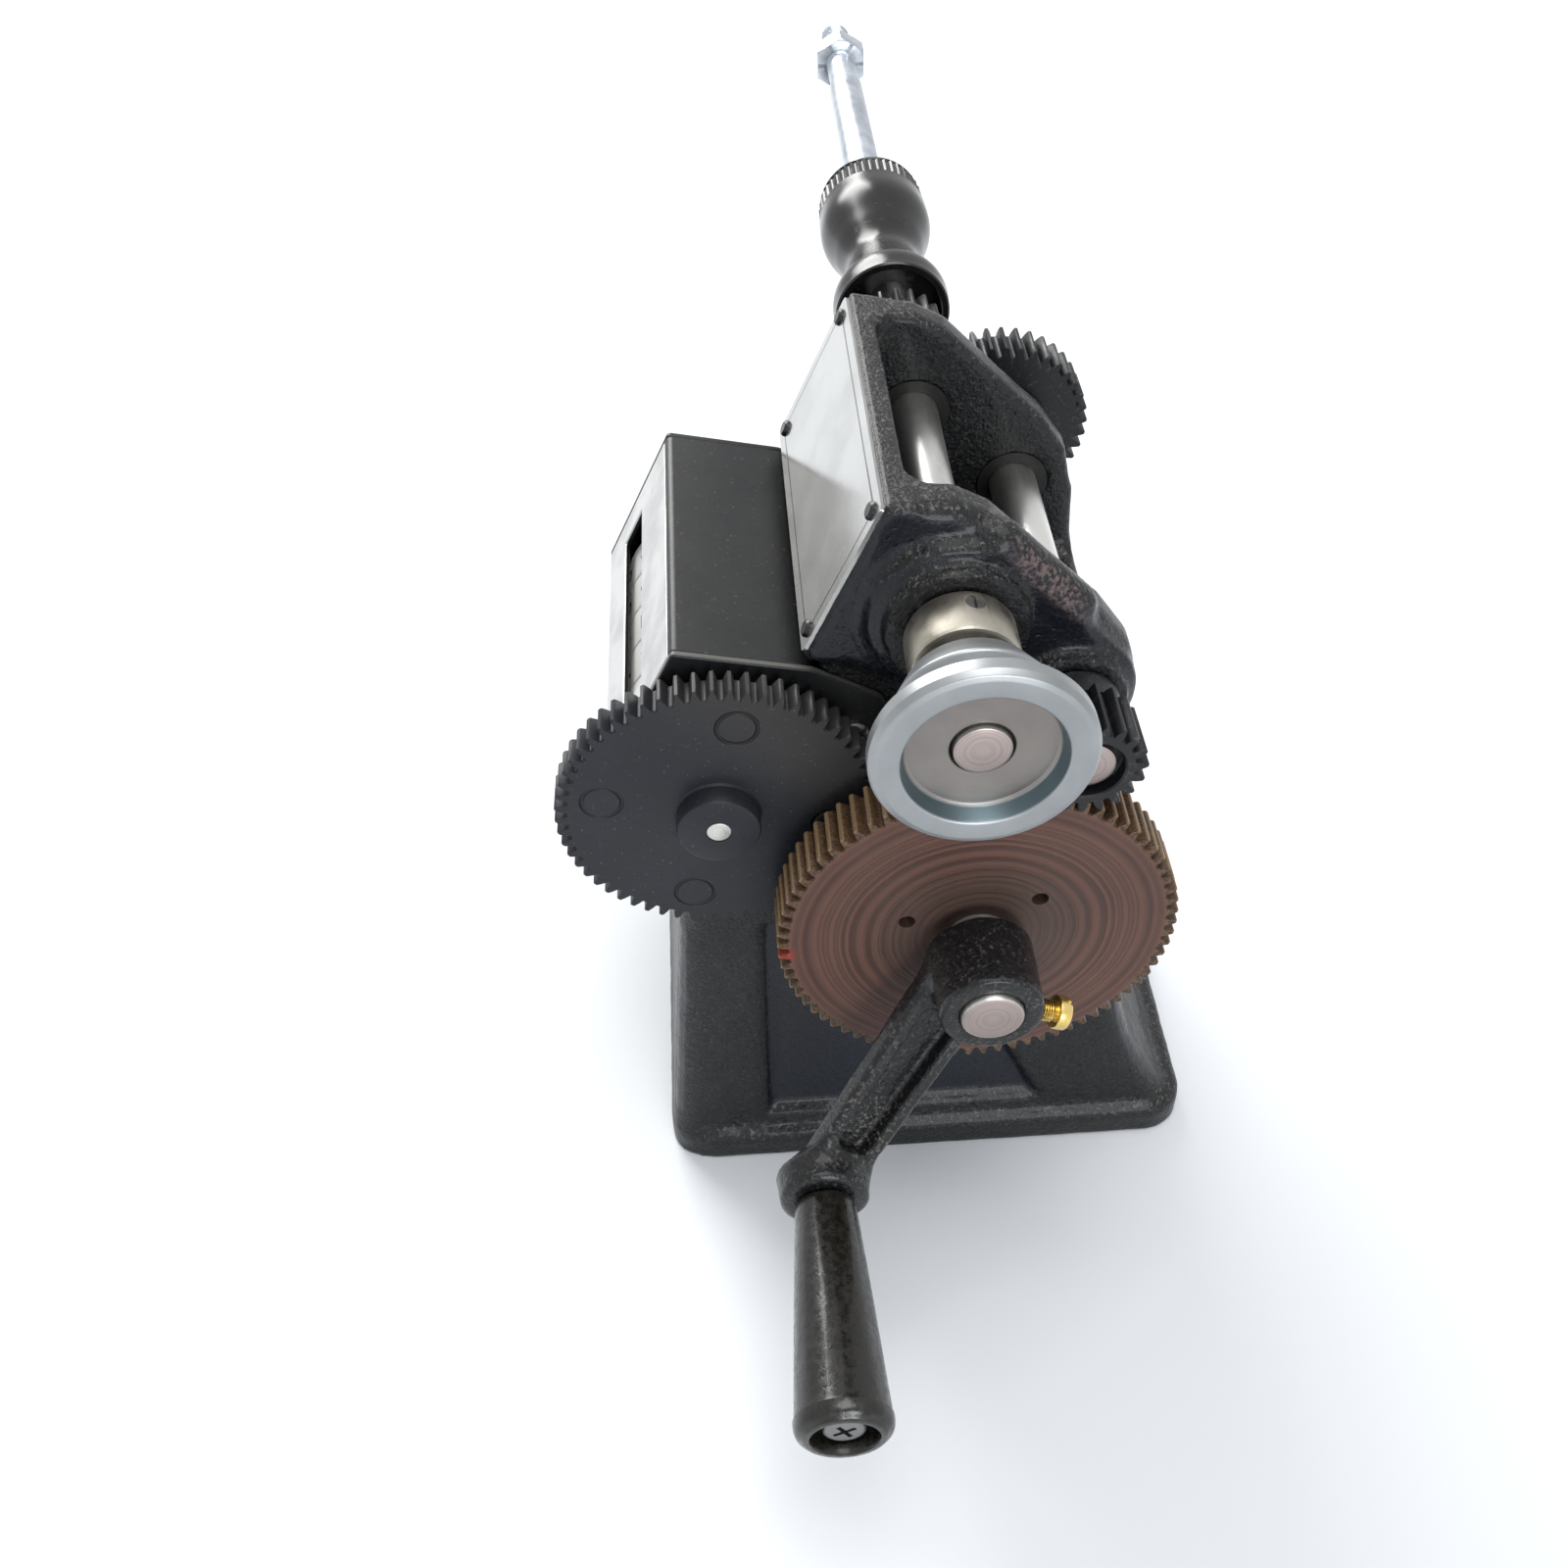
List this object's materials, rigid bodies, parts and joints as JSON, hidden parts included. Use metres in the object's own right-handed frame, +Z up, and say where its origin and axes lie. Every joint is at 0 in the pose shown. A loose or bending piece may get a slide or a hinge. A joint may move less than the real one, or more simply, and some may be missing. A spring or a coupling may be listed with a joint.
{
  "type": "coil winding machine",
  "caption": "Hand-cranked bench coil winder: cast stand, exposed gear train, geared spindle with chuck and winding shaft, belt pulley, and turns counter.",
  "frame": {"origin": "middle of the rectangle that the base rests on, at bench level", "axes": "+X along the winding spindle towards the crank, the operator's side with the counter is -Y, +Z up"},
  "size_m": [0.3692, 0.1362, 0.181],
  "materials": {
    "black_steel": "blackened steel, oiled",
    "brass": "turned brass",
    "bush_bronze": "oiled bronze",
    "casting_enamel": "black enamel over a rough sand casting",
    "chuck_black": "glossy blackened steel",
    "collar_steel": "plain turned steel",
    "cover_black": "black paint on sheet steel",
    "crank_enamel": "black enamel over a rough sand casting",
    "face_silver": "satin aluminium sheet",
    "gear_plastic": "charcoal moulded plastic",
    "grip_black": "glossy black moulded grip",
    "knob_black": "black moulded plastic",
    "nameplate_silver": "printed aluminium sheet, left bare",
    "phenolic": "turned brown laminated phenolic",
    "pulley_zinc": "satin zinc plate, turned",
    "screw_steel": "dark plated steel",
    "shaft_steel": "ground bright steel",
    "wheel_white": "white moulded plastic with black digits",
    "zinc_rod": "bluish zinc plated rod"
  },
  "bodies": {
    "frame": {"frame_casting": "casting_enamel", "spindle_bush_near": "bush_bronze", "spindle_bush_far": "bush_bronze", "layshaft_bush_near": "bush_bronze", "layshaft_bush_far": "bush_bronze", "crank_bush_near": "bush_bronze", "crank_bush_far": "bush_bronze", "nameplate": "nameplate_silver", "nameplate_screw_1": "screw_steel", "nameplate_screw_2": "screw_steel", "nameplate_screw_3": "screw_steel", "nameplate_screw_4": "screw_steel", "counter_cover": "cover_black", "counter_face_plate": "face_silver", "counter_bracket": "cover_black", "counter_end_plate": "cover_black", "counter_bracket_screw_1": "screw_steel", "counter_bracket_screw_2": "screw_steel", "counter_bush_near": "bush_bronze", "counter_bush_far": "bush_bronze", "counter_carry_shaft": "shaft_steel", "counter_carry_pinions": "wheel_white"},
    "crank": {"crank_shaft": "shaft_steel", "crank_gear": "phenolic", "counter_drive_gear": "black_steel", "gear_dowel_1": "shaft_steel", "gear_dowel_2": "shaft_steel", "gear_dowel_3": "shaft_steel", "crank_thrust_washer": "shaft_steel", "crank_arm": "crank_enamel", "crank_clamp_screw": "brass", "handle_pin": "screw_steel", "crank_collar": "collar_steel", "crank_collar_screw": "screw_steel"},
    "handle": {"handle_grip": "grip_black"},
    "layshaft": {"layshaft": "shaft_steel", "layshaft_pinion": "black_steel", "layshaft_gear": "black_steel", "layshaft_gear_screw": "screw_steel"},
    "spindle": {"spindle_shaft": "shaft_steel", "spindle_collar": "collar_steel", "spindle_collar_screw": "screw_steel", "belt_pulley": "pulley_zinc", "spindle_pinion": "black_steel", "chuck_body": "chuck_black", "chuck_nut": "chuck_black", "collet": "collar_steel", "winding_shaft": "zinc_rod"},
    "counter_input": {"counter_shaft": "shaft_steel", "counter_gear": "gear_plastic", "number_wheel_units": "wheel_white"},
    "tens_wheel": {"number_wheel_tens": "wheel_white"},
    "hundreds_wheel": {"number_wheel_hundreds": "wheel_white"},
    "thousands_wheel": {"number_wheel_thousands": "wheel_white"},
    "ten_thousands_wheel": {"number_wheel_ten_thousands": "wheel_white"},
    "reset_knob": {"counter_reset_knob": "knob_black"}
  },
  "joints": [
    {"name": "crank_turn", "type": "hinge", "parent": "frame", "child": "crank", "pos_m": [0, 0.0043, 0.095], "axis": [1, 0, 0], "continuous": true},
    {"name": "handle_spin", "type": "hinge", "parent": "crank", "child": "handle", "pos_m": [0, -0.02828, 0.05345], "axis": [1, 0, 0], "continuous": true},
    {"name": "layshaft_turn", "type": "hinge", "parent": "frame", "child": "layshaft", "pos_m": [0, 0.02163, 0.13923], "axis": [1, 0, 0], "continuous": true},
    {"name": "spindle_turn", "type": "hinge", "parent": "frame", "child": "spindle", "pos_m": [0, -0.00001, 0.15777], "axis": [1, 0, 0], "continuous": true},
    {"name": "counter_turn", "type": "hinge", "parent": "frame", "child": "counter_input", "pos_m": [0, -0.0444, 0.11833], "axis": [1, 0, 0], "continuous": true},
    {"name": "tens_turn", "type": "hinge", "parent": "frame", "child": "tens_wheel", "pos_m": [0, -0.0444, 0.11833], "axis": [1, 0, 0], "continuous": true},
    {"name": "hundreds_turn", "type": "hinge", "parent": "frame", "child": "hundreds_wheel", "pos_m": [0, -0.0444, 0.11833], "axis": [1, 0, 0], "continuous": true},
    {"name": "thousands_turn", "type": "hinge", "parent": "frame", "child": "thousands_wheel", "pos_m": [0, -0.0444, 0.11833], "axis": [1, 0, 0], "continuous": true},
    {"name": "ten_thousands_turn", "type": "hinge", "parent": "frame", "child": "ten_thousands_wheel", "pos_m": [0, -0.0444, 0.11833], "axis": [1, 0, 0], "continuous": true},
    {"name": "reset_turn", "type": "hinge", "parent": "frame", "child": "reset_knob", "pos_m": [0, -0.0444, 0.11833], "axis": [1, 0, 0], "continuous": true}
  ],
  "couplings": [
    {"joint": "layshaft_turn", "follows": "crank_turn", "ratio": -4},
    {"joint": "spindle_turn", "follows": "crank_turn", "ratio": 8},
    {"joint": "counter_turn", "follows": "crank_turn", "ratio": -0.8},
    {"joint": "tens_turn", "follows": "crank_turn", "ratio": -0.08},
    {"joint": "hundreds_turn", "follows": "crank_turn", "ratio": -0.008},
    {"joint": "thousands_turn", "follows": "crank_turn", "ratio": -0.0008},
    {"joint": "ten_thousands_turn", "follows": "crank_turn", "ratio": -0.00008}
  ]
}
